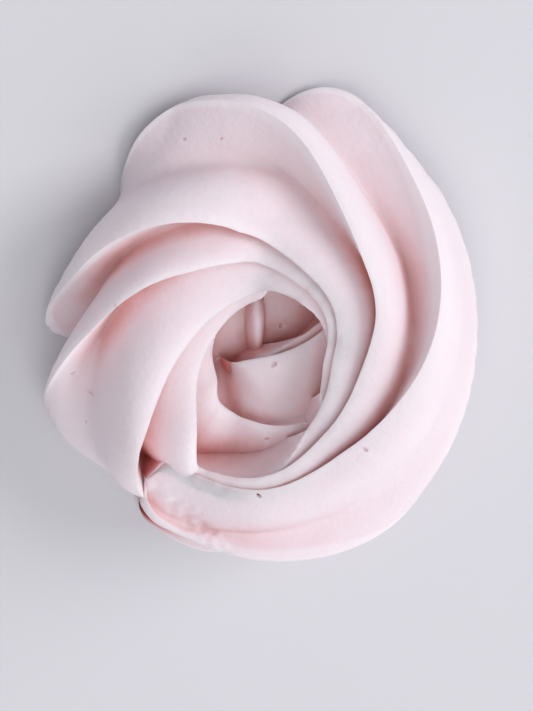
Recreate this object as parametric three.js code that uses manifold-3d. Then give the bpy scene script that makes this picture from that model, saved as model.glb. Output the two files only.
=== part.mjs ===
// Piped meringue cookie: a rosette drawn clockwise with a star nozzle, baked dry on a flat tray.
// Millimetres, +Z up. The flat underside lies on z = 0 and the swirl faces up. The origin is the
// middle of the cookie's box, on the underside.

import * as THREE from 'three';
import { mergeVertices } from 'three/addons/utils/BufferGeometryUtils.js';
import Module from 'manifold-3d';

// ---- Driving dimensions ----

// The strand of meringue as the hand goes round. Heading 90 runs toward -Y, 180 toward -X,
// 270 toward +Y and 360 toward +X. Each row holds the heading in degrees, then in mm: the bend
// radius of the strand's middle line, the half width toward the eye, the half width outward,
// the height of the crests and how high the strand's underside lies. The last value is the share
// of the height at which the side toward the eye is widest.
const STATIONS = [
  [90, 21, 3.5, 7, 8.5, 0, 0.7],
  [150, 16.5, 10.5, 5.5, 9, 0, 0.65],
  [180, 10.5, 10.5, 4.5, 9, 0, 0.25],
  [210, 10, 10.5, 5, 12, 0, 0.2],
  [250, 12, 10, 7.5, 15, 0, 0.25],
  [290, 16.5, 9.5, 7, 13, 0, 0.45],
  [330, 15.5, 9.5, 11, 11, 0, 0.55],
  [370, 10, 8.5, 13, 9, 0, 0.8],
  [410, 18, 7.5, 9.5, 11, 0, 0.8],
  [450, 15, 9, 8.5, 12, 0, 0.8],
  [495, 16.5, 8, 9, 14, 0, 0.8],
  [535, 19, 6.5, 6, 15, 2, 0.85],
  [572, 22.5, 7, 0.5, 12.5, 4.5, 0.85],
];
const STRAND_START = [11, 8.3]; // where the strand's middle line begins
const NOSE_LENGTH = 7; // the strand swells to its full size over this length
const TAIL_LENGTH = 2.5; // and closes over this length where the nozzle is pulled away
const TAIL_BLUNTNESS = 0.6; // below 1 the tail stays full for longer before it closes
const TIP_ASIDE = 0.45; // how far the tail's tip lies toward the eye, as a share of the width there
const TIP_SHARE = 0.02; // the share of the full size that is left at both ends
const SWELL_FROM = [0.4, 0.8]; // the nose and the tail close toward these shares of the height

// The nozzle keeps its direction while the hand turns, so each of its notches draws a crest that
// comes up on the outer flank at its own heading, crosses the top and gathers round the eye.
// Each row holds that heading and how deep the groove outward of the crest is on the flank and over
// the top, as shares of the width.
const CRESTS = [
  [-212, 0.3, 0.5],
  [-158, 0.3, 0.5],
  [-104, 0.3, 0.5],
  [-50, 0.3, 0.25],
  [64, 0.3, 0.5],
  [131, 0.3, 0.5],
  [186, 0.05, 0.5],
  [256, 0.5, 0.5],
  [284, 0.35, 0.5],
  [340, 0.35, 0.5],
  [388, 0.05, 0.4],
  [490, 0.25, 0.5],
  [542, 0.3, 0.5],
  [594, 0.3, 0.5],
  [646, 0.3, 0.5],
];
const TOP_STARTS = 50; // degrees up the section where the flank's groove has become the top's
// A groove is deepest this far out toward the next crest: on the flank, over the top.
const GROOVE_FOOT = [0.65, 0.92];
const GROOVE_SLOPES = [2, 0.6]; // how its inner and outer sides curve; below 1 is hollow
const FULL_GROOVE_WIDTH = 51; // degrees between crests that gives a groove its full depth
const WIDEST_GROOVE = 1.4; // grooves wider than this many full widths get no deeper
const WIDTH_TELLS = 0.4; // how strongly the depth over the top follows the groove's width

const CROWDING = 0.52; // how much the crests bunch up on the side of the eye
const CROWDING_AT = 159; // degrees round the section where they bunch most
const TRAIL = 0.2; // how far the top trails behind the nozzle, as a share of the width
const FLANK_WIDEST = [0.2, 0.4]; // height share of the widest line outward: first turn, last turn
const LAST_TURN = [410, 490]; // headings between which the first share passes into the last
const EYE_SIDE = [50, 160]; // degrees round the section between which outward turns to eyeward
// Low on the flank the crests stand steep at first, with this share of the lean that the nozzle's
// turning gives them, and between the two headings they come to their full lean.
const FLANK_LEAN = 0.3;
const LEANING = [262, 290];
const UNDERCUT = 1.6; // how far the outer flank draws in below its widest line
const EYE_SLOPE = 1.5; // above 1 the side toward the eye sinks in a hollow curve
const LOWER_FALL = 1.6; // below the widest line the section falls faster than a circle, by this
const WALL_CURVE = 0.35; // how squarely the eye's wall comes down to the underside
const HUB_SIDE = [130, 180]; // degrees round the section over which the grooves get shallower
const HUB_GROOVES = 0.4; // toward this share of their depth, at the eye
const HUB_SHARE = 0.97; // the eye side stops short of the bend's centre, at this share
const HUB_EASE = 0.2; // and is eased over this last share of it

// The first squeeze, before the hand starts round: a low dab with a short lip, inside the eye.
const DAB_RADIUS = 12;
const DAB_HEIGHT = 3;
const DAB_MIDDLE = [0, 3];
const LIP_SIZE = [1.4, 5.5, 4.6];
const LIP_MIDDLE = [-1, 3.6];

// Facets of the model.
const RING_STEP = 4; // degrees of heading between rings
const STRETCHES = [90, 250, 410, 572]; // headings at which the strand is parted to be joined
const GROOVE_STEPS = [0, 0.2, 0.4, 0.6, 0.76, 0.86, 0.94]; // points across a groove, crest first
const FOOT_ROOM = 2; // degrees round the section between a foot and the skin's edge
const EDGE_ROOM = 4; // degrees of turn left free beside the skin's edge
const CAP_HEIGHT = 0.12; // share of the height at which the point lies that closes an end
const TRAY_DEPTH = 0.6; // the strand is laid this deep and trimmed flat at z = 0
const DAB_FACETS = [36, 6]; // round and up
const LIP_FACETS = [16, 12];

const MERINGUE = new THREE.MeshStandardMaterial({ color: 0xeed3d2, roughness: 0.75, metalness: 0 });

// ---- The strand's section ----

const rad = THREE.MathUtils.degToRad;
const { clamp, lerp, smoothstep } = THREE.MathUtils;

// Smooth curve through a column of STATIONS that never overshoots a station.
function stationCurve(column) {
  const at = STATIONS.map((row) => row[0]);
  const value = STATIONS.map((row) => row[column]);
  const rise = at.slice(1).map((a, i) => (value[i + 1] - value[i]) / (a - at[i]));
  const slope = value.map((_, i) => {
    if (i === 0) return rise[0];
    if (i === rise.length) return rise[i - 1];
    if (rise[i - 1] * rise[i] <= 0) return 0;
    const before = at[i] - at[i - 1];
    const after = at[i + 1] - at[i];
    const near = 2 * after + before;
    const far = after + 2 * before;
    return (near + far) / (near / rise[i - 1] + far / rise[i]);
  });
  return (heading) => {
    let i = 0;
    while (i < at.length - 2 && heading > at[i + 1]) i += 1;
    const span = at[i + 1] - at[i];
    const t = (heading - at[i]) / span;
    return (2 * t ** 3 - 3 * t ** 2 + 1) * value[i] + (t ** 3 - 2 * t ** 2 + t) * span * slope[i]
      + (3 * t ** 2 - 2 * t ** 3) * value[i + 1] + (t ** 3 - t ** 2) * span * slope[i + 1];
  };
}

const bendRadius = stationCurve(1);
const eyeWidth = stationCurve(2);
const outerWidth = stationCurve(3);
const crestHeight = stationCurve(4);
const underside = stationCurve(5);
const eyeWidest = stationCurve(6);

// Middle line of the strand: its point and length at every heading, summed in small steps.
const LINE_STEP = 0.25;
const middleLine = [];
{
  const first = STATIONS[0][0];
  const last = STATIONS.at(-1)[0];
  let point = { heading: first, x: STRAND_START[0], y: STRAND_START[1], length: 0 };
  middleLine.push(point);
  while (point.heading < last) {
    const middle = point.heading + LINE_STEP / 2;
    const step = bendRadius(middle) * rad(LINE_STEP);
    point = {
      heading: point.heading + LINE_STEP,
      x: point.x + step * Math.cos(rad(middle)),
      y: point.y - step * Math.sin(rad(middle)),
      length: point.length + step,
    };
    middleLine.push(point);
  }
}
const STRAND_LENGTH = middleLine.at(-1).length;

function lineAt(heading) {
  return middleLine[Math.round((heading - STATIONS[0][0]) / LINE_STEP)];
}

// Angle round the section, 0 outward, 90 up and 180 toward the eye, of a mark that the nozzle
// made at the given turn, in degrees of heading since the mark came up on the outer flank.
function angleOfTurn(turn) {
  return rad(turn) - CROWDING * (Math.sin(rad(turn - CROWDING_AT)) + Math.sin(rad(CROWDING_AT)));
}

function turnOfAngle(angle) {
  let low = -180;
  let high = 450;
  while (high - low > 1e-6) {
    const middle = (low + high) / 2;
    if (angleOfTurn(middle) < angle) low = middle;
    else high = middle;
  }
  return low;
}

// Depth of the groove at a mark, as a share of the width. It fades out toward the foot.
function grooveDepth(skinMark, turn, angle) {
  const lean = lerp(FLANK_LEAN, 1, smoothstep(skinMark + turn, ...LEANING));
  const mark = skinMark + Math.min(turn, 0) * (1 - lean);
  let i = 0;
  while (i < CRESTS.length - 2 && mark >= CRESTS[i + 1][0]) i += 1;
  const spacing = CRESTS[i + 1][0] - CRESTS[i][0];
  const across = clamp((mark - CRESTS[i][0]) / spacing, 0, 1);
  const top = smoothstep(angle, 0, rad(TOP_STARTS));
  const foot = lerp(...GROOVE_FOOT, top);
  const profile = across < foot
    ? Math.sin((Math.PI / 2) * (across / foot)) ** GROOVE_SLOPES[0]
    : Math.sin((Math.PI / 2) * ((1 - across) / (1 - foot))) ** GROOVE_SLOPES[1];
  const stretch = 1 - CROWDING * Math.cos(rad(turn - CROWDING_AT));
  const width = clamp((spacing * stretch) / FULL_GROOVE_WIDTH, 0, WIDEST_GROOVE);
  const depth = CRESTS[i][1] * (1 - top) + CRESTS[i][2] * top * width ** WIDTH_TELLS;
  const fade = lerp(1, HUB_GROOVES, smoothstep(angle, ...HUB_SIDE.map(rad)));
  return depth * profile * fade * clamp(2 * (Math.sin(angle) + 1), 0, 1);
}

// Share of its full size that the strand has along its rounded nose and tail.
function fullness({ length }) {
  const swollen = clamp(length / NOSE_LENGTH, 0, 1);
  const left = clamp((STRAND_LENGTH - length) / TAIL_LENGTH, 0, 1);
  const nose = Math.sqrt(1 - (1 - swollen) ** 2);
  const tail = Math.sqrt(1 - (1 - left) ** 2) ** TAIL_BLUNTNESS;
  return Math.max(nose * tail, TIP_SHARE);
}

// Middle of the section at a heading. It moves toward the eye where the tail closes.
function middleAt(heading) {
  const line = lineAt(heading);
  const closing = heading > LAST_TURN[0] ? 1 - fullness(line) : 0;
  const aside = TIP_ASIDE * eyeWidth(heading) * closing;
  const along = rad(heading);
  return { x: line.x - aside * Math.sin(along), y: line.y - aside * Math.cos(along) };
}

// Half width toward the eye, held back so that the strand never laps over the bend's centre.
function heldEyeWidth(heading) {
  const hub = HUB_SHARE * bendRadius(heading);
  const free = 1 - HUB_EASE;
  const share = eyeWidth(heading) / hub;
  return hub * (share > free ? free + HUB_EASE * Math.tanh((share - free) / HUB_EASE) : share);
}

// Point of the strand's skin at a heading, for an angle round the section and a groove depth.
function skinPoint(heading, angle, groove) {
  const middle = middleAt(heading);
  const full = fullness(lineAt(heading));
  const size = 1 - groove;
  const sin = Math.sin(angle);
  const cos = Math.cos(angle);
  const eye = heldEyeWidth(heading);
  const outer = outerWidth(heading);

  let side;
  if (angle > Math.PI) side = -eye * size * clamp(3 - (2 * angle) / Math.PI, 0, 1) ** WALL_CURVE;
  else if (sin < 0) side = outer * cos * size * (1 - UNDERCUT * (1 - cos));
  else if (cos > 0) side = outer * cos * size;
  else side = eye * cos * size;

  const bottom = underside(heading);
  const rise = crestHeight(heading) - bottom;
  const flankWidest = lerp(...FLANK_WIDEST, smoothstep(heading, ...LAST_TURN));
  const widest = lerp(flankWidest, eyeWidest(heading), smoothstep(angle, ...EYE_SIDE.map(rad)));
  const climb = cos < 0 ? Math.max(sin, 0) ** EYE_SLOPE : sin;
  const above = widest + (1 - widest) * climb * size;
  const below = widest * (1 + LOWER_FALL * sin);
  let height = Math.max(sin < 0 ? below : above, 0);
  const swellFrom = SWELL_FROM[heading < LAST_TURN[0] ? 0 : 1];
  if (height > swellFrom) height = lerp(swellFrom, height, full);

  const trail = TRAIL * ((eye + outer) / 2) * Math.max(sin, 0) * size * full;
  const along = rad(heading);
  return [
    middle.x + side * full * Math.sin(along) - trail * Math.cos(along),
    middle.y + side * full * Math.cos(along) + trail * Math.sin(along),
    bottom + height * rise,
  ];
}

// ---- Rings and skin ----

// The skin's points lie on the crests and at fixed shares across the grooves, so that the facets
// follow the ridges. A ring holds the points that are on the section at its heading, between the
// foot of the outer flank and the foot on the side of the eye.
const FOOT_ANGLE = Math.asin(-1 / LOWER_FALL);
const FIRST_TURN = turnOfAngle(FOOT_ANGLE + rad(FOOT_ROOM));
const LAST_TURN_SEEN = turnOfAngle(Math.PI - FOOT_ANGLE - rad(FOOT_ROOM));
const MARKS = CRESTS.slice(0, -1).flatMap(([heading], i) => (
  GROOVE_STEPS.map((share) => lerp(heading, CRESTS[i + 1][0], share))
));

function ringAt(heading) {
  const ring = [];
  const skin = (turn, mark) => {
    const angle = angleOfTurn(turn);
    ring.push({ mark, point: skinPoint(heading, angle, grooveDepth(mark, turn, angle)) });
  };
  const foot = (angle, mark) => {
    const [x, y] = skinPoint(heading, angle, 0);
    ring.push({ mark, point: [x, y, underside(heading) - TRAY_DEPTH] });
  };
  foot(FOOT_ANGLE, Infinity);
  skin(FIRST_TURN, heading - FIRST_TURN);
  for (let i = MARKS.length - 1; i >= 0; i -= 1) {
    const turn = heading - MARKS[i];
    if (turn > FIRST_TURN + EDGE_ROOM && turn < LAST_TURN_SEEN - EDGE_ROOM) skin(turn, MARKS[i]);
  }
  skin(LAST_TURN_SEEN, heading - LAST_TURN_SEEN);
  foot(Math.PI - FOOT_ANGLE, -Infinity);
  return ring;
}

// A stretch of strand as a closed solid: rings joined by facets, with a flat underside and ends.
function strandStretch(from, to) {
  const vertices = [];
  const faces = [];
  const rings = [];
  const steps = Math.round((to - from) / RING_STEP);
  for (let r = 0; r <= steps; r += 1) {
    const heading = lerp(from, to, r / steps);
    const ring = ringAt(heading);
    for (const entry of ring) {
      entry.index = vertices.length;
      vertices.push(entry.point);
    }
    ring.heading = heading;
    rings.push(ring);
  }
  const distance = (a, b) => Math.hypot(...[0, 1, 2].map((k) => vertices[a][k] - vertices[b][k]));

  // The skin between two rings: the ring whose next mark comes first takes the next facet.
  for (let r = 0; r + 1 < rings.length; r += 1) {
    const [back, front] = [rings[r], rings[r + 1]];
    let i = 0;
    let j = 0;
    while (i < back.length - 1 || j < front.length - 1) {
      const here = back[i].index;
      const ahead = front[j].index;
      const nextBack = back[i + 1];
      const nextFront = front[j + 1];
      let stepBack = nextBack !== undefined;
      if (nextBack && nextFront) {
        stepBack = nextBack.mark === nextFront.mark
          ? distance(nextBack.index, ahead) < distance(here, nextFront.index)
          : nextBack.mark > nextFront.mark;
      }
      faces.push(here, (stepBack ? nextBack : nextFront).index, ahead);
      if (stepBack) i += 1;
      else j += 1;
    }
    const [backLast, frontLast] = [back.at(-1).index, front.at(-1).index];
    faces.push(backLast, back[0].index, frontLast);
    faces.push(back[0].index, front[0].index, frontLast);
  }

  // Both ends are fans round a point inside the section, low enough to see all of its skin.
  for (const ring of [rings[0], rings.at(-1)]) {
    const middle = vertices.length;
    const { x, y } = middleAt(ring.heading);
    vertices.push([x, y, lerp(underside(ring.heading), crestHeight(ring.heading), CAP_HEIGHT)]);
    ring.forEach((entry, k) => {
      const next = ring[(k + 1) % ring.length].index;
      if (ring === rings[0]) faces.push(middle, next, entry.index);
      else faces.push(middle, entry.index, next);
    });
  }
  return solidOf(vertices.flat(), faces);
}

// ---- Joining ----

const wasm = await Module();
wasm.setup();

function solidOf(vertices, faces) {
  const mesh = new wasm.Mesh({
    numProp: 3,
    vertProperties: new Float32Array(vertices),
    triVerts: new Uint32Array(faces),
  });
  mesh.merge();
  return new wasm.Manifold(mesh);
}

function solidOfGeometry(geometry) {
  geometry.deleteAttribute('normal');
  geometry.deleteAttribute('uv');
  const merged = mergeVertices(geometry);
  return solidOf(merged.attributes.position.array, merged.index.array);
}

function dab() {
  const [round, up] = DAB_FACETS;
  const profile = [new THREE.Vector2(0, -TRAY_DEPTH), new THREE.Vector2(DAB_RADIUS, -TRAY_DEPTH)];
  for (let i = 0; i < up; i += 1) {
    const angle = (Math.PI / 2) * (i / up);
    profile.push(new THREE.Vector2(DAB_RADIUS * Math.cos(angle), DAB_HEIGHT * Math.sin(angle)));
  }
  profile.push(new THREE.Vector2(0, DAB_HEIGHT));
  const geometry = new THREE.LatheGeometry(profile, round);
  geometry.rotateX(Math.PI / 2);
  geometry.translate(...DAB_MIDDLE, 0);
  return solidOfGeometry(geometry);
}

function lip() {
  const geometry = new THREE.SphereGeometry(1, ...LIP_FACETS);
  geometry.rotateX(Math.PI / 2);
  geometry.scale(...LIP_SIZE);
  geometry.translate(...LIP_MIDDLE, 0);
  return solidOfGeometry(geometry);
}

function aboveTray() {
  const size = 200;
  const geometry = new THREE.BoxGeometry(size, size, size);
  geometry.translate(0, 0, size / 2);
  return solidOfGeometry(geometry);
}

// The outer skin alone, without the small gaps that the turns close in between them.
function largestPiece(solid) {
  const pieces = solid.decompose();
  return pieces.reduce((large, piece) => (piece.volume() > large.volume() ? piece : large));
}

const strand = STRETCHES.slice(1).map((to, i) => strandStretch(STRETCHES[i], to));
const joined = [...strand, dab(), lip()].reduce((whole, piece) => whole.add(piece));
const cookie = largestPiece(largestPiece(joined).intersect(aboveTray()));
const trimmed = cookie.getMesh();

const geometry = new THREE.BufferGeometry();
geometry.setAttribute('position', new THREE.BufferAttribute(trimmed.vertProperties, 3));
geometry.setIndex([...trimmed.triVerts]);
geometry.computeBoundingBox();
const centre = geometry.boundingBox.getCenter(new THREE.Vector3());
geometry.translate(-centre.x, -centre.y, 0);
geometry.computeVertexNormals();

const meringue = new THREE.Mesh(geometry, MERINGUE);
meringue.name = 'meringue';

const part = new THREE.Group();
part.add(meringue);

export default part;
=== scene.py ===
import math

import bmesh
import bpy
import numpy as np
from mathutils import Matrix, Vector, noise
from mathutils.bvhtree import BVHTree


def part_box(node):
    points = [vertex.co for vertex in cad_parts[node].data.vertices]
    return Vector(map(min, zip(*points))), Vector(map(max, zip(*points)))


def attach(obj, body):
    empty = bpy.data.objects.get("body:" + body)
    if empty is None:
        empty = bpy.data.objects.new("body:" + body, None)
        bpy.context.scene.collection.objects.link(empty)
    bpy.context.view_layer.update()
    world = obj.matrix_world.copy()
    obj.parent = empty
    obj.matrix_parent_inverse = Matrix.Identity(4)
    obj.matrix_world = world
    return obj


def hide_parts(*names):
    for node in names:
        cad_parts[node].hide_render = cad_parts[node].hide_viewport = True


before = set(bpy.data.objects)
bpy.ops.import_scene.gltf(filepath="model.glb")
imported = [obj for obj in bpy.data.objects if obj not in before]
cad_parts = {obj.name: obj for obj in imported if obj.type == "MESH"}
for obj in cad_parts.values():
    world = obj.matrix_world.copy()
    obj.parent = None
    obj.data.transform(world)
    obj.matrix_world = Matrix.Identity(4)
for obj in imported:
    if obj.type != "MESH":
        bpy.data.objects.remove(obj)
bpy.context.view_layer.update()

# Sizes are given in mm, and MM turns them into metres.
MM = 0.001

# ---- The strand ----
# One thick strand of stiff meringue, squeezed from a star nozzle and laid clockwise once and a
# third round an eye, where it rests against itself. The nozzle keeps its direction while the hand
# turns, so every notch draws a crest that comes up on the outer flank and gathers at the eye.

# Heading in degrees (90 runs toward -Y, 180 toward -X), then in mm the bend radius of the middle
# line, the half widths toward the eye and outward, the height of the crests and of the underside,
# and last the share of the height at which the side toward the eye is widest.
STATIONS = np.array([
    (90, 21, 3.5, 7, 8.5, 0, 0.7),
    (150, 16.5, 10.5, 5.5, 9, 0, 0.65),
    (180, 10.5, 10.5, 4.5, 9, 0, 0.25),
    (210, 10, 10.5, 5, 12, 0, 0.2),
    (250, 12, 10, 7.5, 15, 0, 0.25),
    (290, 16.5, 9.5, 7, 13, 0, 0.45),
    (330, 15.5, 9.5, 11, 11, 0, 0.55),
    (370, 10, 8.5, 13, 9, 0, 0.8),
    (410, 18, 7.5, 9.5, 11, 0, 0.8),
    (450, 15, 9, 8.5, 12, 0, 0.8),
    (495, 16.5, 8, 9, 14, 0, 0.8),
    (535, 19, 6.5, 6, 15, 2, 0.85),
    (572, 22.5, 7, 0.5, 12.5, 4.5, 0.85),
])

# Where the middle line starts, how long the rounded nose and the tail's closing end are, how that
# end closes, bluntly and toward the eye, and the share of the height above which both are rounded.
STRAND_START = (11, 8.3)
LINE_STEP = 0.25
NOSE_LENGTH = 7
TAIL_LENGTH = 2.5
TAIL_BLUNTNESS = 0.6
TIP_ASIDE = 0.45
TIP_SHARE = 0.02
SWELL_FROM = (0.4, 0.8)

# The heading at which each crest comes up, and the depth of the groove outward of it, on the flank
# and over the top, as a share of the strand's width.
CRESTS = np.array([
    (-212, 0.3, 0.5),
    (-158, 0.3, 0.5),
    (-104, 0.3, 0.5),
    (-50, 0.3, 0.25),
    (64, 0.3, 0.5),
    (131, 0.3, 0.5),
    (186, 0.05, 0.5),
    (256, 0.5, 0.5),
    (284, 0.35, 0.5),
    (340, 0.35, 0.5),
    (388, 0.05, 0.4),
    (490, 0.25, 0.5),
    (542, 0.3, 0.5),
    (594, 0.3, 0.5),
    (646, 0.3, 0.5),
])

# How a groove runs from one crest to the next: where the top begins, where the groove's foot lies
# on the flank and on top, how its two sides curve, and how its depth follows the room it has.
TOP_STARTS = 50
GROOVE_FOOT = (0.65, 0.92)
GROOVE_SLOPES = (2, 0.6)
FULL_GROOVE_WIDTH = 51
WIDEST_GROOVE = 1.4
WIDTH_TELLS = 0.4
FOOT_FADE = 2

# How far the crests crowd together, trail behind and lean over as the strand turns, and the outline
# of its section: the undercut outer flank, the slope toward the eye, and the wall round the eye.
CROWDING = 0.52
CROWDING_AT = math.radians(159)
TRAIL = 0.2
TURN_RANGE = (-math.pi, 2.5 * math.pi)
TURN_SAMPLES = 4000
FLANK_WIDEST = (0.2, 0.4)
LAST_TURN = (410, 490)
EYE_SIDE = (math.radians(50), math.radians(160))
FLANK_LEAN = 0.3
LEANING = (262, 290)
UNDERCUT = 1.6
EYE_SLOPE = 1.5
LOWER_FALL = 1.6
WALL_CURVE = 0.35

# Toward the hub, the centre of the bend, the strand is held back and its grooves are shallower.
HUB_SIDE = (math.radians(130), math.radians(180))
HUB_GROOVES = 0.4
HUB_SHARE = 0.97
HUB_EASE = 0.2

# The strand is made in stretches, of rings a degree apart. Their points stand closer together near
# a groove's foot, and the ring's two feet reach below the tray.
RING_STEP = 1
GROOVE_STEPS = np.array([
    0, 0.04, 0.1, 0.18, 0.26, 0.34, 0.42, 0.5, 0.57, 0.64, 0.7,
    0.76, 0.81, 0.85, 0.885, 0.92, 0.94, 0.96, 0.975, 0.985, 0.995,
])
STRETCHES = (90, 250, 410, 572)
FOOT_ROOM = math.radians(2)
EDGE_ROOM = math.radians(2)
CAP_HEIGHT = 0.12
TRAY_DEPTH = 0.6


def smooth_step(value, low, high):
    """Rises smoothly from 0 at the low value to 1 at the high one."""
    share = np.clip((value - low) / (high - low), 0, 1)
    return share * share * (3 - 2 * share)


def station_curve(column):
    """A smooth curve through a column of STATIONS that never overshoots a station."""
    at = STATIONS[:, 0]
    value = STATIONS[:, column]
    span = np.diff(at)
    rise = np.diff(value) / span
    slope = np.empty(len(at))
    slope[0] = rise[0]
    slope[-1] = rise[-1]
    for i in range(1, len(at) - 1):
        near = 2 * span[i] + span[i - 1]
        far = span[i] + 2 * span[i - 1]
        level = rise[i - 1] * rise[i] <= 0
        slope[i] = 0 if level else (near + far) / (near / rise[i - 1] + far / rise[i])

    def curve(heading):
        i = np.clip(np.searchsorted(at, heading) - 1, 0, len(span) - 1)
        t = (heading - at[i]) / span[i]
        start = (2 * t**3 - 3 * t**2 + 1) * value[i] + (t**3 - 2 * t**2 + t) * span[i] * slope[i]
        end = (3 * t**2 - 2 * t**3) * value[i + 1] + (t**3 - t**2) * span[i] * slope[i + 1]
        return start + end

    return curve


bend_radius, eye_width, outer_width = map(station_curve, (1, 2, 3))
crest_height, underside, eye_widest = map(station_curve, (4, 5, 6))


def lay_middle_line():
    """Headings, points and lengths along the strand's middle line, summed in small steps."""
    headings = np.arange(STATIONS[0, 0], STATIONS[-1, 0] + LINE_STEP / 2, LINE_STEP)
    middles = (headings[1:] + headings[:-1]) / 2
    steps = bend_radius(middles) * np.radians(np.diff(headings))
    x = STRAND_START[0] + np.append(0, np.cumsum(steps * np.cos(np.radians(middles))))
    y = STRAND_START[1] - np.append(0, np.cumsum(steps * np.sin(np.radians(middles))))
    return headings, x, y, np.append(0, np.cumsum(steps))


line_headings, line_x, line_y, line_length = lay_middle_line()


def angle_of_turn(turn):
    """Angle round the section, 0 outward and 90 up, of a mark made this much turning ago."""
    return turn - CROWDING * (np.sin(turn - CROWDING_AT) + np.sin(CROWDING_AT))


def turn_of_angle(angle):
    """How much turning ago a mark was made that now stands at this angle."""
    turns = np.linspace(*TURN_RANGE, TURN_SAMPLES)
    return np.interp(angle, angle_of_turn(turns), turns)


def groove_depth(mark, turn, angle):
    """Depth of the groove at a mark that the nozzle's star leaves, as a share of the width."""
    lean = FLANK_LEAN + (1 - FLANK_LEAN) * smooth_step(mark + np.degrees(turn), *LEANING)
    mark = mark + np.degrees(np.minimum(turn, 0)) * (1 - lean)
    i = np.clip(np.searchsorted(CRESTS[:, 0], mark, side="right") - 1, 0, len(CRESTS) - 2)
    spacing = CRESTS[i + 1, 0] - CRESTS[i, 0]
    across = np.clip((mark - CRESTS[i, 0]) / spacing, 0, 1)
    top = smooth_step(angle, 0, math.radians(TOP_STARTS))
    foot = GROOVE_FOOT[0] + (GROOVE_FOOT[1] - GROOVE_FOOT[0]) * top
    inner = np.sin(math.pi / 2 * np.clip(across / foot, 0, 1)) ** GROOVE_SLOPES[0]
    outer = np.sin(math.pi / 2 * np.clip((1 - across) / (1 - foot), 0, 1)) ** GROOVE_SLOPES[1]
    profile = np.where(across < foot, inner, outer)
    stretch = 1 - CROWDING * np.cos(turn - CROWDING_AT)
    width = np.clip(spacing * stretch / FULL_GROOVE_WIDTH, 0, WIDEST_GROOVE)
    depth = CRESTS[i, 1] * (1 - top) + CRESTS[i, 2] * top * width**WIDTH_TELLS
    fade = 1 - (1 - HUB_GROOVES) * smooth_step(angle, *HUB_SIDE)
    return depth * profile * fade * np.clip(FOOT_FADE * (np.sin(angle) + 1), 0, 1)


def fullness(heading):
    """Share of its full size that the strand has along its rounded nose and tail."""
    length = np.interp(heading, line_headings, line_length)
    swollen = np.clip(length / NOSE_LENGTH, 0, 1)
    left = np.clip((line_length[-1] - length) / TAIL_LENGTH, 0, 1)
    ends = np.sqrt(1 - (1 - swollen) ** 2) * np.sqrt(1 - (1 - left) ** 2) ** TAIL_BLUNTNESS
    return np.maximum(ends, TIP_SHARE)


def middle_point(heading):
    """The middle of the section, which moves toward the eye where the tail closes."""
    aside = TIP_ASIDE * eye_width(heading) * (1 - fullness(heading)) if heading > LAST_TURN[0] else 0
    along = np.radians(heading)
    x = np.interp(heading, line_headings, line_x) - aside * np.sin(along)
    y = np.interp(heading, line_headings, line_y) - aside * np.cos(along)
    return x, y


def skin_point(heading, angle, groove):
    """Points of the strand's skin, for angles round the section and groove depths."""
    full = fullness(heading)
    hub = HUB_SHARE * bend_radius(heading)
    share = eye_width(heading) / hub
    free = 1 - HUB_EASE
    eye = hub * np.where(share > free, free + HUB_EASE * np.tanh((share - free) / HUB_EASE), share)
    outer = outer_width(heading)
    sin = np.sin(angle)
    cos = np.cos(angle)
    size = 1 - groove

    wall = -eye * size * np.clip(3 - 2 * angle / math.pi, 0, 1) ** WALL_CURVE
    flank = outer * cos * size * np.where(sin < 0, 1 - UNDERCUT * (1 - cos), 1)
    side = np.where(angle > math.pi, wall, np.where(cos > 0, flank, eye * cos * size))

    bottom = underside(heading)
    rise = crest_height(heading) - bottom
    late = smooth_step(heading, *LAST_TURN)
    flank_widest = FLANK_WIDEST[0] + (FLANK_WIDEST[1] - FLANK_WIDEST[0]) * late
    widest = flank_widest + (eye_widest(heading) - flank_widest) * smooth_step(angle, *EYE_SIDE)
    climb = np.where(cos < 0, np.maximum(sin, 0) ** EYE_SLOPE, sin)
    above = widest + (1 - widest) * climb * size
    below = widest * (1 + LOWER_FALL * sin)
    height = np.maximum(np.where(sin < 0, below, above), 0)
    swell_from = SWELL_FROM[0] if heading < LAST_TURN[0] else SWELL_FROM[1]
    height = np.where(height > swell_from, swell_from + (height - swell_from) * full, height)

    trail = TRAIL * (eye + outer) / 2 * np.maximum(sin, 0) * size * full
    along = np.radians(heading)
    x, y = middle_point(heading)
    x = x + side * full * np.sin(along) - trail * np.cos(along)
    y = y + side * full * np.cos(along) + trail * np.sin(along)
    return np.stack([x, y, bottom + height * rise], axis=-1)


FOOT_ANGLE = math.asin(-1 / LOWER_FALL)
FIRST_TURN = turn_of_angle(FOOT_ANGLE + FOOT_ROOM)
LAST_SEEN = turn_of_angle(math.pi - FOOT_ANGLE - FOOT_ROOM)
MARKS = np.concatenate([
    low + (high - low) * GROOVE_STEPS
    for low, high in zip(CRESTS[:-1, 0], CRESTS[1:, 0])
])[::-1]


def ring_at(heading):
    """Marks and points of the section at a heading, from the outer foot over the top to the eye's."""
    turns = np.radians(heading - MARKS)
    seen = (turns > FIRST_TURN + EDGE_ROOM) & (turns < LAST_SEEN - EDGE_ROOM)
    turns = np.concatenate([[FIRST_TURN], turns[seen], [LAST_SEEN]])
    marks = heading - np.degrees(turns)
    marks[1:-1] = MARKS[seen]
    angles = angle_of_turn(turns)
    skin = skin_point(heading, angles, groove_depth(marks, turns, angles))
    feet = skin_point(heading, np.array([FOOT_ANGLE, math.pi - FOOT_ANGLE]), 0)
    feet[:, 2] = underside(heading) - TRAY_DEPTH
    points = np.concatenate([feet[:1], skin, feet[1:]])
    return np.concatenate([[math.inf], marks, [-math.inf]]), points


def inside_point(heading):
    """The point low inside the section on which a closed end is centred."""
    bottom = underside(heading)
    return np.array([*middle_point(heading), bottom + CAP_HEIGHT * (crest_height(heading) - bottom)])


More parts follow.
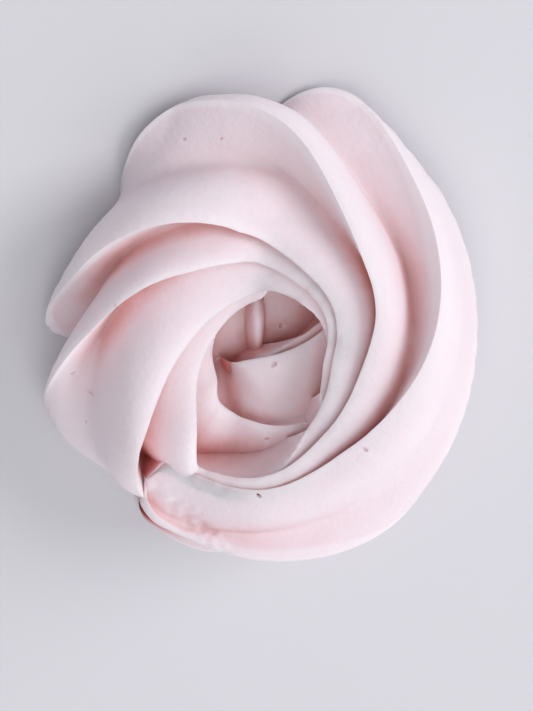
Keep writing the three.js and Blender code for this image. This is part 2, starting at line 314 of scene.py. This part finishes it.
def strand_stretch(start, end):
    """A stretch of strand as a closed mesh: rings joined along the crests, with both ends closed."""
    steps = round((end - start) / RING_STEP)
    points = []
    faces = []
    rings = []
    count = 0
    for heading in np.linspace(start, end, steps + 1):
        marks, ring = ring_at(heading)
        rings.append((count, marks))
        points.append(ring)
        count += len(ring)
    points = np.concatenate(points)

    for (back, back_marks), (front, front_marks) in zip(rings, rings[1:]):
        i = j = 0
        while i < len(back_marks) - 1 or j < len(front_marks) - 1:
            next_back = back_marks[i + 1] if i < len(back_marks) - 1 else -math.inf
            next_front = front_marks[j + 1] if j < len(front_marks) - 1 else -math.inf
            step_back = next_back > next_front
            if j == len(front_marks) - 1:
                step_back = True
            elif i < len(back_marks) - 1 and next_back == next_front:
                across_back = points[back + i + 1] - points[front + j]
                across_front = points[front + j + 1] - points[back + i]
                step_back = across_back @ across_back < across_front @ across_front
            if step_back:
                faces.append((back + i, back + i + 1, front + j))
                i += 1
            else:
                faces.append((back + i, front + j + 1, front + j))
                j += 1
        faces.append((back + i, back, front + j))
        faces.append((back, front, front + j))

    for (first, marks), heading in ((rings[0], start), (rings[-1], end)):
        points = np.vstack([points, inside_point(heading)])
        middle = len(points) - 1
        for k in range(len(marks)):
            here = first + k
            there = first + (k + 1) % len(marks)
            faces.append((middle, here, there) if heading == end else (middle, there, here))
    return points, faces


def solid(name, points, faces):
    """A piece with this mesh, whose points are given in mm."""
    mesh = bpy.data.meshes.new(name)
    mesh.from_pydata([tuple(p) for p in np.asarray(points) * MM], [], faces)
    mesh.validate()
    piece = bpy.data.objects.new(name, mesh)
    bpy.context.scene.collection.objects.link(piece)
    return piece


strand = [
    solid(f"stretch_{start}", *strand_stretch(start, end))
    for start, end in zip(STRETCHES, STRETCHES[1:])
]

# ---- The first squeeze ----
# Before the hand starts round, the nozzle leaves a low dab on the tray and a short lip on it. They
# close the bottom of the eye, and the strand is laid over the dab's rim.

DAB_RADIUS = 12
DAB_HEIGHT = 3
DAB_MIDDLE = (0, 3)
LIP_SIZE = (1.4, 5.5, 4.6)
LIP_MIDDLE = (-1, 3.6)
DOME_COLUMNS = 72
DOME_ROWS = 24


def dome(name, middle, size, depth):
    """Half an ellipsoid over the tray, with straight sides down to the given depth below it."""
    points = [(middle[0], middle[1], -depth)]
    faces = []
    for row in range(DOME_ROWS):
        slope = math.pi / 2 * max(row - 1, 0) / (DOME_ROWS - 1)
        reach = math.cos(slope)
        z = -depth if row == 0 else size[2] * math.sin(slope)
        for column in range(DOME_COLUMNS):
            way = 2 * math.pi * column / DOME_COLUMNS
            x = middle[0] + size[0] * reach * math.cos(way)
            y = middle[1] + size[1] * reach * math.sin(way)
            points.append((x, y, z))
    points.append((middle[0], middle[1], size[2]))
    top = len(points) - 1
    last = 1 + (DOME_ROWS - 1) * DOME_COLUMNS
    for column in range(DOME_COLUMNS):
        beside = (column + 1) % DOME_COLUMNS
        faces.append((0, 1 + beside, 1 + column))
        for row in range(DOME_ROWS - 1):
            low = 1 + row * DOME_COLUMNS
            high = low + DOME_COLUMNS
            faces.append((low + column, low + beside, high + beside, high + column))
        faces.append((last + column, last + beside, top))
    return solid(name, points, faces)


dab = dome("dab", DAB_MIDDLE, (DAB_RADIUS, DAB_RADIUS, DAB_HEIGHT), TRAY_DEPTH)
lip = dome("lip", LIP_MIDDLE, LIP_SIZE, TRAY_DEPTH)

# ---- Baking into one piece ----
# The turns sink together where they touch and bake into one dry piece. Its underside is flat and
# smooth, where it lay on the tray.

TRAY_SIZE = 100


def tray_cutter():
    """The block above the tray, which is all that stays of the piece."""
    half = TRAY_SIZE / 2
    corners = [(x, y, z) for z in (0, TRAY_SIZE) for y in (-half, half) for x in (-half, half)]
    sides = [(0, 2, 3, 1), (4, 5, 7, 6), (0, 1, 5, 4), (2, 6, 7, 3), (0, 4, 6, 2), (1, 3, 7, 5)]
    return solid("tray_cutter", corners, sides)


def join(piece, others, operation):
    """Adds the others to the piece, or cuts it with them, and uses them up."""
    for other in others:
        merge = piece.modifiers.new(other.name, "BOOLEAN")
        merge.operation = operation
        merge.solver = "MANIFOLD"
        merge.object = other
    evaluated = piece.evaluated_get(bpy.context.evaluated_depsgraph_get())
    mesh = bpy.data.meshes.new_from_object(evaluated)
    piece.modifiers.clear()
    piece.data = mesh
    for other in others:
        bpy.data.objects.remove(other)


def keep_outer_skin(piece, weld):
    """Leaves the largest part of the mesh, without the small gaps that the turns close in, and
    welds points that lie closer than this."""
    skin = bmesh.new()
    skin.from_mesh(piece.data)
    parts = []
    waiting = set(skin.verts)
    while waiting:
        part = [waiting.pop()]
        for vertex in part:
            for edge in vertex.link_edges:
                other = edge.other_vert(vertex)
                if other in waiting:
                    waiting.remove(other)
                    part.append(other)
        parts.append(part)
    parts.sort(key=len)
    for part in parts[:-1]:
        bmesh.ops.delete(skin, geom=part, context="VERTS")
    bmesh.ops.dissolve_degenerate(skin, edges=skin.edges, dist=weld * MM)
    skin.to_mesh(piece.data)
    skin.free()


meringue = strand[0]
join(meringue, [*strand[1:], dab, lip], "UNION")
keep_outer_skin(meringue, 0)
join(meringue, [tray_cutter()], "INTERSECT")

# The sizes above are laid out from the eye, so the piece is moved to the middle of its place.
points = np.empty(len(meringue.data.vertices) * 3)
meringue.data.vertices.foreach_get("co", points)
points = points.reshape(-1, 3)
low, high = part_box("meringue")
middle = (points.min(axis=0) + points.max(axis=0)) / 2
points[:, :2] += ((np.array(low) + np.array(high)) / 2 - middle)[:2]
meringue.data.vertices.foreach_set("co", points.ravel())
meringue.data.update()

# ---- The pits ----
# A few air bubbles burst at the skin as it dries, and each leaves a small pit with a sharp rim.
# They are part of the same piece, cut a little way into its skin.

# Where each pit lies as seen from above, and its size.
PITS = (
    (0.65, -3.6, 0.45),
    (8.6, -10.5, 0.4),
    (-2.1, -14.4, 0.35),
    (-0.3, -11.1, 0.3),
    (2.1, -1.55, 0.3),
    (-19.35, -2.6, 0.3),
    (-17.6, -5.0, 0.25),
    (-15.8, 6.7, 0.3),
    (-18.1, -8.2, 0.25),
    (-7.5, 20.0, 0.3),
    (-4.0, 20.1, 0.25),
)
PIT_SHAPE = (1, 0.65, 0.8)
PIT_RAISED = 0.15
PIT_TURN = 2.4
PIT_SUBDIVISIONS = 3
ABOVE_ALL = 1
WELD_DISTANCE = 0.001


def skin_tree(mesh):
    """The skin in a form that finds where a straight line meets it."""
    spots = [vertex.co for vertex in mesh.vertices]
    return BVHTree.FromPolygons(spots, [face.vertices for face in mesh.polygons])


def pit_cutters(skin):
    """Small egg shapes that lie about half in the skin at the pits, each turned another way."""
    tree = skin_tree(skin)
    cutters = []
    for i, (x, y, size) in enumerate(PITS):
        spot, normal = tree.ray_cast(Vector((x * MM, y * MM, ABOVE_ALL)), Vector((0, 0, -1)))[:2]
        egg = bmesh.new()
        bmesh.ops.create_icosphere(egg, subdivisions=PIT_SUBDIVISIONS, radius=size * MM)
        mesh = bpy.data.meshes.new(f"pit_{i}")
        egg.to_mesh(mesh)
        egg.free()
        turned = normal.to_track_quat("Z", "Y").to_matrix() @ Matrix.Rotation(i * PIT_TURN, 3, "Z")
        sized = turned @ Matrix.Diagonal(PIT_SHAPE)
        mesh.transform(Matrix.Translation(spot + normal * PIT_RAISED * size * MM) @ sized.to_4x4())
        cutter = bpy.data.objects.new(f"pit_{i}", mesh)
        bpy.context.scene.collection.objects.link(cutter)
        cutters.append(cutter)
    return cutters


join(meringue, pit_cutters(meringue.data), "DIFFERENCE")
keep_outer_skin(meringue, WELD_DISTANCE)
meringue.name = meringue.data.name = "piped_meringue"
meringue.data.shade_smooth()

# ---- The crust ----
# Sugar crust of very pale pink, dry and matt, with a fine grain. It is thin enough for light to glow
# through. On top of that the folds are painted a darker salmon pink as painted shade and painted
# glow, and the crests are painted paler.

# How deep and how wide the unevenness of the foam is, and the heights over which it sets in. It is
# deeper along the edge where the tail tore off the nozzle.
RELIEF = 0.05
RELIEF_SCALE = 0.35
FINE_SHARE = 0.5
FINE_SCALE = 3
RELIEF_FREE = (0.3, 1.5)
TORN_FROM = (-11.4, -14.6)
TORN_TO = (-5, -20.6)
TORN_REACH = 1.8
TORN_DEPTH = 0.35
TORN_SCALE = 1.3

# The angle from which a fold is sharp, and how far and in how many directions a point of the skin
# looks out, which tells a fold from an open panel.
SHARP_FOLD = 55
SIGHT = 20
SIGHT_DIRECTIONS = 64
SIGHT_TURN = math.pi * (3 - math.sqrt(5))
SIGHT_FACING = 0.1
SKIN_GAP = 0.05
OPEN_SPREAD = 3
CREST_SPREAD = 4
SHORTEST_EDGE = 1e-9


def skin_points(mesh):
    """The place of every point of the skin, and the way that the skin faces there."""
    spots = np.array([vertex.co for vertex in mesh.vertices])
    normals = np.array([vertex.normal for vertex in mesh.vertices])
    return spots, normals


def edges_round(mesh):
    """Both ends of every edge, each edge taken both ways, and the number of edges at each point."""
    ends = np.array([edge.vertices for edge in mesh.edges])
    here, there = np.concatenate([ends, ends[:, ::-1]]).T
    return here, there, np.bincount(here, minlength=len(mesh.vertices))


def roughen(mesh):
    """Gives the skin the slight unevenness of piped foam, all but the side that lay on the tray."""
    spots, normals = skin_points(mesh)
    spots = spots / MM
    free = smooth_step(spots[:, 2], *RELIEF_FREE)
    swell = np.array([noise.noise(Vector(spot * RELIEF_SCALE)) for spot in spots])
    fine = np.array([noise.noise(Vector(spot * RELIEF_SCALE * FINE_SCALE)) for spot in spots])
    swell = (swell + FINE_SHARE * fine) * (RELIEF * free)
    start = np.array(TORN_FROM)
    edge = np.array(TORN_TO) - start
    along = np.clip((spots[:, :2] - start) @ edge / (edge @ edge), 0, 1)
    away = np.linalg.norm(spots[:, :2] - start - along[:, None] * edge, axis=1)
    torn = TORN_DEPTH * (1 - smooth_step(away, 0, TORN_REACH)) * free
    for i in np.flatnonzero(torn):
        swell[i] += torn[i] * noise.noise(Vector(spots[i] * TORN_SCALE))
    moved = (spots + normals * swell[:, None]) * MM
    mesh.vertices.foreach_set("co", moved.ravel())
    mesh.update()


def spread(mesh, values, times):
    """Evens the values out between neighbouring points of the mesh."""
    here, there, count = edges_round(mesh)
    for _ in range(times):
        values = (values + np.bincount(here, values[there], len(values)) / count) / 2
    return values


def open_share(mesh):
    """The share of the air around that each point of the skin sees, which is small in a fold."""
    spots, normals = skin_points(mesh)
    tree = skin_tree(mesh)
    heights = 1 - (2 * np.arange(SIGHT_DIRECTIONS) + 1) / SIGHT_DIRECTIONS
    reach = np.sqrt(1 - heights**2)
    way = SIGHT_TURN * np.arange(SIGHT_DIRECTIONS)
    directions = np.stack([reach * np.cos(way), reach * np.sin(way), heights], axis=-1)
    facing = normals @ directions.T
    seen = np.zeros(len(spots))
    for i, spot in enumerate(spots + normals * SKIN_GAP * MM):
        start = Vector(spot)
        total = 0
        ahead = np.flatnonzero(facing[i] > SIGHT_FACING)
        for k in ahead:
            distance = tree.ray_cast(start, Vector(directions[k]), SIGHT * MM)[3]
            total += facing[i, k] * (1 if distance is None else distance / (SIGHT * MM))
        seen[i] = total / facing[i, ahead].sum()
    return spread(mesh, seen, OPEN_SPREAD)


def crest_share(mesh):
    """How sharply the skin bends outward at each point: high along a crest, none on a panel."""
    spots, normals = skin_points(mesh)
    here, there, count = edges_round(mesh)
    way = spots[there] - spots[here]
    way /= np.maximum(np.linalg.norm(way, axis=1), SHORTEST_EDGE)[:, None]
    bend = -np.bincount(here, (way * normals[here]).sum(axis=1), len(spots)) / count
    return spread(mesh, np.clip(bend, 0, 1), CREST_SPREAD)


roughen(meringue.data)
meringue.data.set_sharp_from_angle(angle=math.radians(SHARP_FOLD))
# openness drives the painted shade in the folds, and crest drives the paler crests, which are partly
# painted highlight.
for name, share in (("openness", open_share), ("crest", crest_share)):
    values = meringue.data.attributes.new(name, "FLOAT", "POINT")
    values.data.foreach_set("value", share(meringue.data).astype(np.float32))

# Painted shade for the crust: from the bottom of a fold, which sees little air and is painted darkest
# in salmon brown, to an open panel in the crust's own pale pink. The mottle shakes it a little, and
# the crests are painted paler than either.
FOLD_SHADE_COLOURS = (
    (0.1, (0.62, 0.20, 0.18)),
    (0.3, (0.77, 0.45, 0.43)),
    (0.46, (0.835, 0.61, 0.62)),
    (0.62, (0.865, 0.725, 0.755)),
    (0.95, (0.87, 0.775, 0.815)),
)
# Paler crests: partly the drier sugar along them, partly a painted highlight where a crest catches
# the light.
CREST_DRY_AND_HIGHLIGHT_COLOUR = (0.91, 0.84, 0.875)
CREST_BENDS = (0.045, 0.11)
CREST_COVER = 0.95
MOTTLE_SCALE = 260
MOTTLE_DETAIL = 4
MOTTLE_SPAN = (0.3, 0.7)
MOTTLE_SHAKE = 0.06
ROUGHNESS = (0.55, 0.72)
SHINE = 0.35
GRAIN_SCALE = 1500
GRAIN_DETAIL = 3
GRAIN_STRENGTH = 0.9
GRAIN_DEPTH = 0.1
GLOW_SHARE = 0.55
GLOW_REACH = (1, 0.78, 0.75)
GLOW_DEPTH = 0.9

crust = bpy.data.materials.new("pink_crust")
crust.use_nodes = True
nodes = crust.node_tree.nodes
links = crust.node_tree.links
shader = nodes["Principled BSDF"]
shader.inputs["Subsurface Weight"].default_value = GLOW_SHARE
shader.inputs["Subsurface Radius"].default_value = GLOW_REACH
shader.inputs["Subsurface Scale"].default_value = GLOW_DEPTH * MM
shader.inputs["Specular IOR Level"].default_value = SHINE


def node(kind, **settings):
    """A new node of the crust, with its settings."""
    made = nodes.new(kind)
    for name, value in settings.items():
        setattr(made, name, value)
    return made


def texture(scale, detail):
    """A cloudy pattern that is fixed to the cookie."""
    made = node("ShaderNodeTexNoise")
    made.inputs["Scale"].default_value = scale
    made.inputs["Detail"].default_value = detail
    links.new(place.outputs["Object"], made.inputs["Vector"])
    return made.outputs["Fac"]


def between(value, low, high, to_low, to_high):
    """Turns the range from low to high into the range from to_low to to_high."""
    made = node("ShaderNodeMapRange")
    made.inputs["From Min"].default_value = low
    made.inputs["From Max"].default_value = high
    made.inputs["To Min"].default_value = to_low
    made.inputs["To Max"].default_value = to_high
    links.new(value, made.inputs["Value"])
    return made.outputs["Result"]


def blend(share, low, high):
    """A colour between two others, each of which is a socket or three numbers."""
    made = node("ShaderNodeMix", data_type="RGBA")
    for socket, value in (("Factor", share), ("A", low), ("B", high)):
        target = next(s for s in made.inputs if s.name == socket and s.enabled)
        if isinstance(value, tuple):
            target.default_value = (*value, 1)
        else:
            links.new(value, target)
    return next(s for s in made.outputs if s.enabled)


place = node("ShaderNodeTexCoord")
mottle = texture(MOTTLE_SCALE, MOTTLE_DETAIL)
grain = texture(GRAIN_SCALE, GRAIN_DETAIL)
opening = node("ShaderNodeAttribute", attribute_name="openness")
edge = node("ShaderNodeAttribute", attribute_name="crest")

shaken = node("ShaderNodeMath", operation="ADD")
links.new(opening.outputs["Fac"], shaken.inputs[0])
links.new(between(mottle, *MOTTLE_SPAN, -MOTTLE_SHAKE, MOTTLE_SHAKE), shaken.inputs[1])
# Painted shade: this ramp darkens the base colour toward salmon brown where a point sees little air.
fold = node("ShaderNodeValToRGB")
ramp = fold.color_ramp
ramp.elements.remove(ramp.elements[1])
for stop, (position, colour) in enumerate(FOLD_SHADE_COLOURS):
    entry = ramp.elements[0] if stop == 0 else ramp.elements.new(position)
    entry.position = position
    entry.color = (*colour, 1)
links.new(shaken.outputs[0], fold.inputs["Fac"])
# Partly painted highlight: the sharp crests are lifted toward the paler colour, which also stands for
# their drier sugar.
dry_and_highlight_share = between(edge.outputs["Fac"], *CREST_BENDS, 0, CREST_COVER)
paler = blend(dry_and_highlight_share, fold.outputs["Color"], CREST_DRY_AND_HIGHLIGHT_COLOUR)
links.new(paler, shader.inputs["Base Color"])
links.new(between(mottle, *MOTTLE_SPAN, *ROUGHNESS), shader.inputs["Roughness"])

bump = node("ShaderNodeBump")
bump.inputs["Strength"].default_value = GRAIN_STRENGTH
bump.inputs["Distance"].default_value = GRAIN_DEPTH * MM
links.new(grain, bump.inputs["Height"])
links.new(bump.outputs["Normal"], shader.inputs["Normal"])

meringue.data.materials.clear()
meringue.data.materials.append(crust)
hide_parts("meringue")
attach(meringue, "root")

# ---- The table and the light ----
# A plain pale table top under a soft window light from the right, with the light of the room from
# above and the light that a pale board throws back from below.

TABLE_SIZE = 3
TABLE_COLOUR = (0.72, 0.72, 0.75)
TABLE_ROUGHNESS = 0.8
ROOM_COLOUR = (0.96, 0.94, 1)
ROOM_STRENGTH = 0.4

bpy.ops.mesh.primitive_plane_add(size=TABLE_SIZE)
table = bpy.context.object
table.name = "table"
paint = bpy.data.materials.new("pale_paint")
paint.use_nodes = True
finish = paint.node_tree.nodes["Principled BSDF"]
finish.inputs["Base Color"].default_value = (*TABLE_COLOUR, 1)
finish.inputs["Roughness"].default_value = TABLE_ROUGHNESS
table.data.materials.append(paint)


def soft_light(name, toward, distance, size, power, colour):
    """A square of light this far out in a direction, shining back at the cookie."""
    light = bpy.data.lights.new(name, "AREA")
    light.size = size
    light.energy = power
    light.color = colour
    lamp = bpy.data.objects.new(name, light)
    bpy.context.scene.collection.objects.link(lamp)
    direction = Vector(toward).normalized()
    lamp.location = direction * distance
    lamp.rotation_euler = (-direction).to_track_quat("-Z", "Y").to_euler()


soft_light("window", (1, 0.35, 0.7), distance=0.8, size=0.5, power=3.5, colour=(1, 0.97, 1))
soft_light("ceiling", (-0.15, -0.05, 1), distance=0.9, size=0.9, power=2.1, colour=(1, 1, 1))
soft_light("board", (0.15, -1, 0.55), distance=0.8, size=0.7, power=1.8, colour=(0.98, 0.96, 1))

world = bpy.data.worlds.new("room")
bpy.context.scene.world = world
world.use_nodes = True
room = world.node_tree.nodes["Background"]
room.inputs["Color"].default_value = (*ROOM_COLOUR, 1)
room.inputs["Strength"].default_value = ROOM_STRENGTH
bpy.context.scene.view_settings.view_transform = "Standard"

# ---- The camera ----
# It stands about two thirds of a metre away and looks down on the swirl, from above its upper side
# and a little from its left.

CAMERA_TILT = math.radians(28)
CAMERA_TURN = math.radians(-10.4)
CAMERA_DISTANCE = 0.663
CAMERA_AIM = Vector((0.3, -3.6, 5)) * MM
CAMERA_LENS = 339.7

back = Vector((
    math.sin(CAMERA_TURN) * math.cos(CAMERA_TILT),
    math.sin(CAMERA_TILT),
    math.cos(CAMERA_TURN) * math.cos(CAMERA_TILT),
))
right = Vector((0, 1, 0)).cross(back).normalized()
up = back.cross(right)
camera = bpy.data.objects.new("camera", bpy.data.cameras.new("camera"))
bpy.context.scene.collection.objects.link(camera)
camera.data.lens = CAMERA_LENS
stand = Matrix.Translation(CAMERA_AIM + back * CAMERA_DISTANCE)
camera.matrix_world = stand @ Matrix((right, up, back)).transposed().to_4x4()
bpy.context.scene.camera = camera
